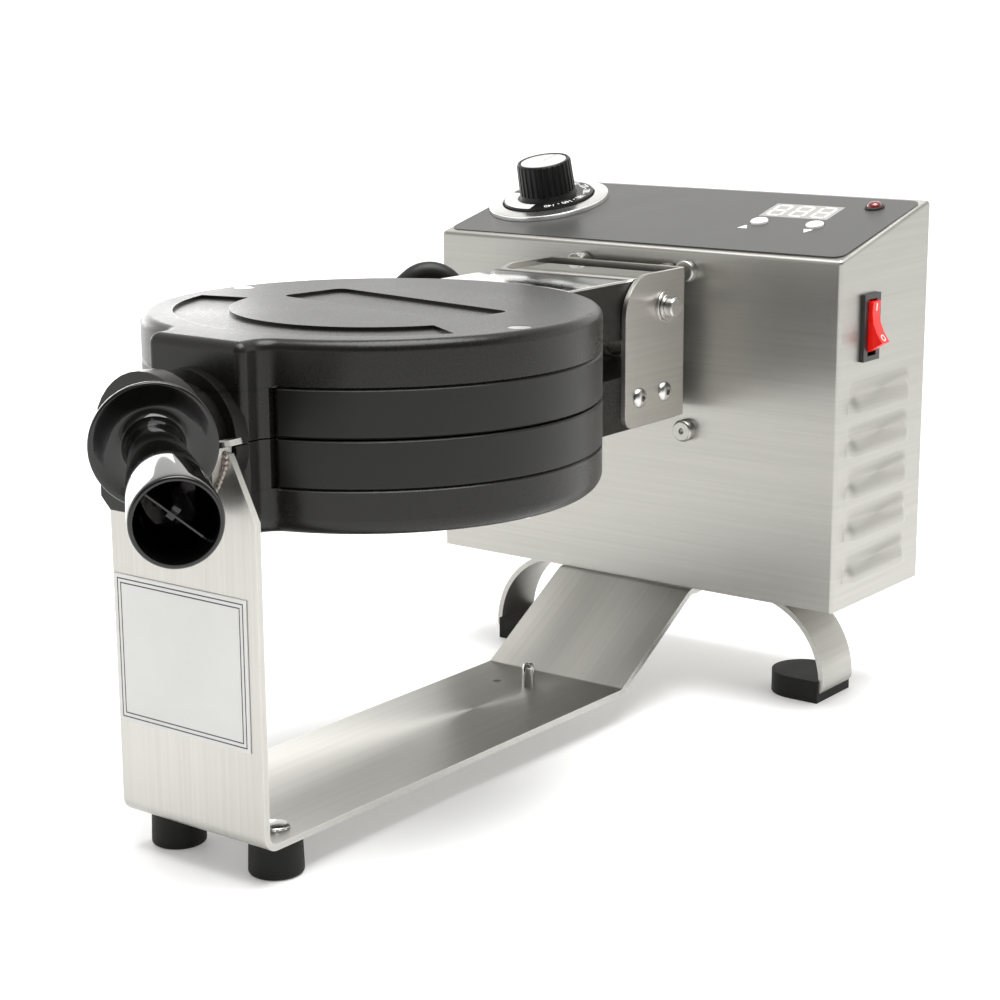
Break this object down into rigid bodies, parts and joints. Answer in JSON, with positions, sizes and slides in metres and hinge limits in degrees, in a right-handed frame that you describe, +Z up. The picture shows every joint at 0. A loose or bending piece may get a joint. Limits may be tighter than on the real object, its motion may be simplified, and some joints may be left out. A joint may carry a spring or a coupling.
{
  "type": "rotary waffle maker",
  "caption": "Counter-top rotary waffle maker: round hinged two-plate head turning over on a shaft in front of a steel control box.",
  "frame": {"origin": "on the floor, under the middle of the overall footprint", "axes": "+Z up, +Y from the handle towards the control box at the back, +X to the right seen from the front"},
  "size_m": [0.2536, 0.5289, 0.2666],
  "materials": {
    "box_steel": "brushed sheet, grain along the fold",
    "arm_steel": "brushed thick strip",
    "bracket_steel": "bright folded sheet",
    "trim_bright": "mirror polished",
    "cast_black": "black baked coat on cast metal, fine grain",
    "plate_black": "black non-stick coat on cast metal",
    "handle_black": "moulded, glossy",
    "overlay_dark": "satin dark film",
    "bezel_bright": "polished ring",
    "skirt_black": "satin with plain numbers",
    "knob_black": "ribbed",
    "cap_bright": "spun",
    "button_white": "smooth",
    "lamp_red": "clear red lens",
    "switch_black": "moulded",
    "switch_red": "clear red paddle",
    "display_pale": "display window",
    "board_green": "circuit board",
    "rubber_black": "moulded",
    "fastener_steel": "bright turned",
    "label_white": "blank film plate with a thin border",
    "conduit_black": "black powder coat",
    "heater_steel": "heat tinted tube",
    "bearing_bronze": "turned bush",
    "terminal_white": "moulded block"
  },
  "bodies": {
    "base": {"control_box": "box_steel", "rear_panel": "box_steel", "rear_panel_screws": "fastener_steel", "cord_gland": "switch_black", "bottom_panel": "box_steel", "arm_bolts": "fastener_steel", "support_arm": "arm_steel", "tray_pin": "fastener_steel", "upright_plate": "label_white", "saddle": "arm_steel", "front_feet": "rubber_black", "front_foot_screws": "fastener_steel", "rear_leg": "arm_steel", "rear_foot_pads": "rubber_black", "stop_stubs": "box_steel", "shaft_bearing": "bearing_bronze", "bearing_studs": "fastener_steel", "panel_overlay": "overlay_dark", "dial_bezel": "bezel_bright", "thermostat_body": "fastener_steel", "display_module": "display_pale", "timer_board": "board_green", "buzzer": "switch_black", "indicator_lamp": "lamp_red", "rocker_housing": "switch_black", "terminal_block": "terminal_white"},
    "head": {"rotor_shaft": "fastener_steel", "bracket_screws": "fastener_steel", "thrust_washer": "bearing_bronze", "shaft_collar": "fastener_steel", "hinge_bracket": "bracket_steel", "bracket_side_screws": "fastener_steel", "stop_studs": "fastener_steel", "hinge_pin": "fastener_steel", "pin_washers": "fastener_steel", "pin_clips": "fastener_steel", "lower_cover": "cast_black", "lower_plate_screws": "fastener_steel", "lower_grid_plate": "plate_black", "lower_heater": "heater_steel"},
    "lid": {"upper_cover": "cast_black", "upper_plate_screws": "fastener_steel", "upper_grid_plate": "plate_black", "upper_heater": "heater_steel", "arm_cover_plate": "trim_bright", "hinge_bushes": "bearing_bronze", "handle": "handle_black", "handle_stud": "fastener_steel", "lid_conduit": "conduit_black", "conduit_boss": "conduit_black"},
    "dial": {"dial_skirt": "skirt_black", "thermostat_knob": "knob_black", "knob_cap": "cap_bright", "thermostat_shaft": "fastener_steel"},
    "power_paddle": {"switch_rocker": "switch_red"},
    "time_down": {"time_down_button": "button_white"},
    "time_up": {"time_up_button": "button_white"}
  },
  "joints": [
    {"name": "head_flip", "type": "hinge", "parent": "base", "child": "head", "pos_m": [0, 0.16, 0.1805], "axis": [0, 1, 0], "range_deg": [-180, 0]},
    {"name": "lid_open", "type": "hinge", "parent": "head", "child": "lid", "pos_m": [0, 0.138, 0.2035], "axis": [-1, 0, 0], "range_deg": [0, 95]},
    {"name": "thermostat_turn", "type": "hinge", "parent": "base", "child": "dial", "pos_m": [-0.086, 0.21903, 0.23983], "axis": [0, -0.2348, 0.972], "range_deg": [-270, 0]},
    {"name": "power_rock", "type": "hinge", "parent": "base", "child": "power_paddle", "pos_m": [0.1164, 0.19575, 0.19325], "axis": [0, 1, 0], "range_deg": [0, 30]},
    {"name": "time_down_press", "type": "slide", "parent": "base", "child": "time_down", "axis": [0, 0.2348, -0.972], "range_m": [0, 0.0007], "stiffness_N_per_m": 900},
    {"name": "time_up_press", "type": "slide", "parent": "base", "child": "time_up", "axis": [0, 0.2348, -0.972], "range_m": [0, 0.0007], "stiffness_N_per_m": 900}
  ]
}
